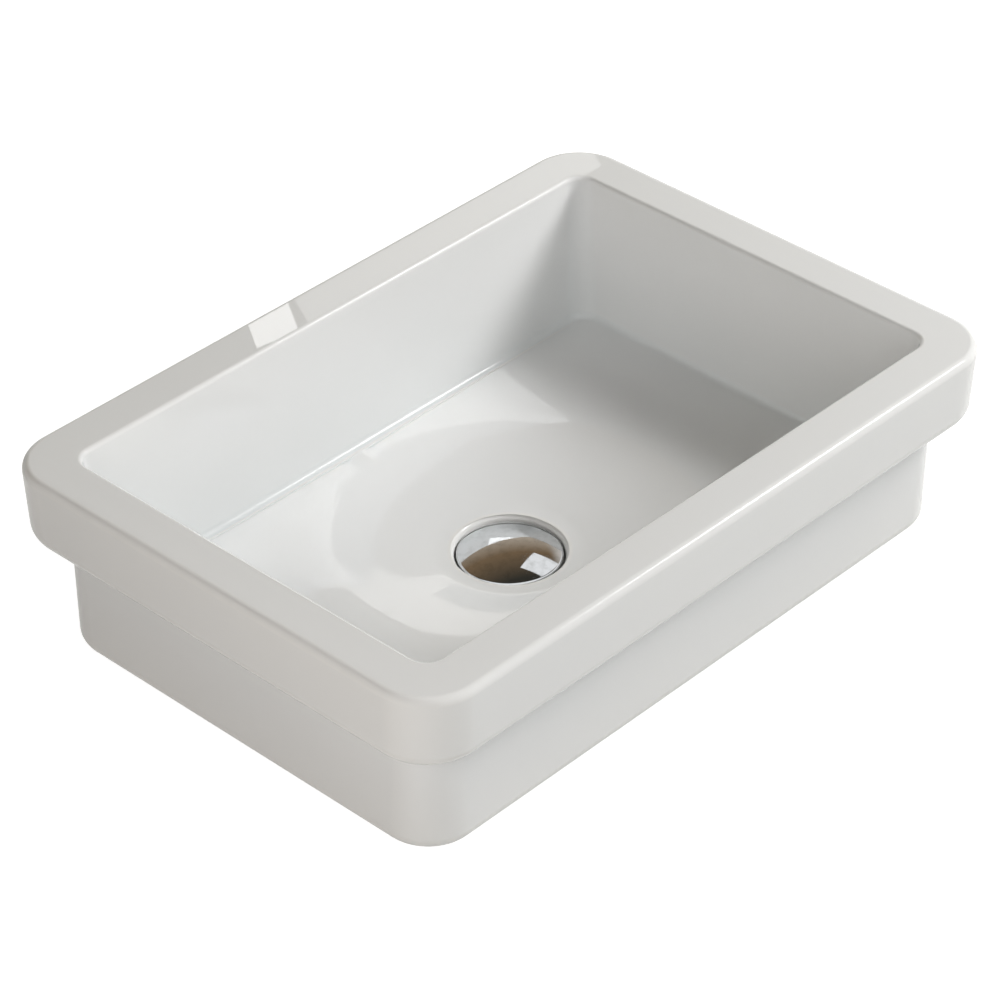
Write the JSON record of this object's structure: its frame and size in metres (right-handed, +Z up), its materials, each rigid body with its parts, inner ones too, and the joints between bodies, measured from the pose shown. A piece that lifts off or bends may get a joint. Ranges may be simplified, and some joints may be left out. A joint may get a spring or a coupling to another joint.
{
  "type": "countertop basin",
  "caption": "Rectangular glazed china countertop basin with a rim band over a set-in lower body, a falling bowl floor and a push-open chrome waste with its outlet tube.",
  "frame": {"origin": "centre of the foot ring, on the counter surface and on the drain axis", "axes": "+X along the long side, +Z up out of the counter along the drain axis; the long face towards -Y is the near one in the picture"},
  "size_m": [0.4996, 0.3476, 0.259],
  "materials": {
    "china": "clear gloss glaze on white vitreous china, foot ring bare",
    "chrome": "bright chrome plate",
    "brass": "turned brass",
    "rubber": "moulded black rubber",
    "nylon": "natural white nylon",
    "moulding": "dark moulded plastic",
    "steel": "bright stainless steel"
  },
  "bodies": {
    "basin": {"basin_bowl": "china", "waste_body": "chrome", "flange_seal": "rubber", "cone_washer": "rubber", "slip_washer": "nylon", "back_nut": "brass", "tail_pipe": "chrome", "tail_seal": "rubber", "union_nut": "chrome", "core_sleeve": "brass", "core_locknut": "brass", "core_gland": "brass", "gland_seal": "rubber", "core_spring": "steel"},
    "plug": {"plug_cap": "chrome", "plug_carrier": "moulding", "plug_seal": "rubber", "cam_rod": "brass"},
    "cage": {"ball_cage": "nylon", "cam_balls": "steel"}
  },
  "joints": [
    {"name": "plug_lift", "type": "slide", "parent": "basin", "child": "plug", "axis": [0, 0, 1], "range_m": [0, 0.009], "deforming": ["core_spring"]},
    {"name": "cage_turn", "type": "hinge", "parent": "basin", "child": "cage", "pos_m": [0, 0, -0.0085], "axis": [0, 0, 1], "range_deg": [0, 60]}
  ],
  "couplings": [
    {"joint": "cage_turn", "follows": "plug_lift", "rad_per_m": 116.36}
  ]
}
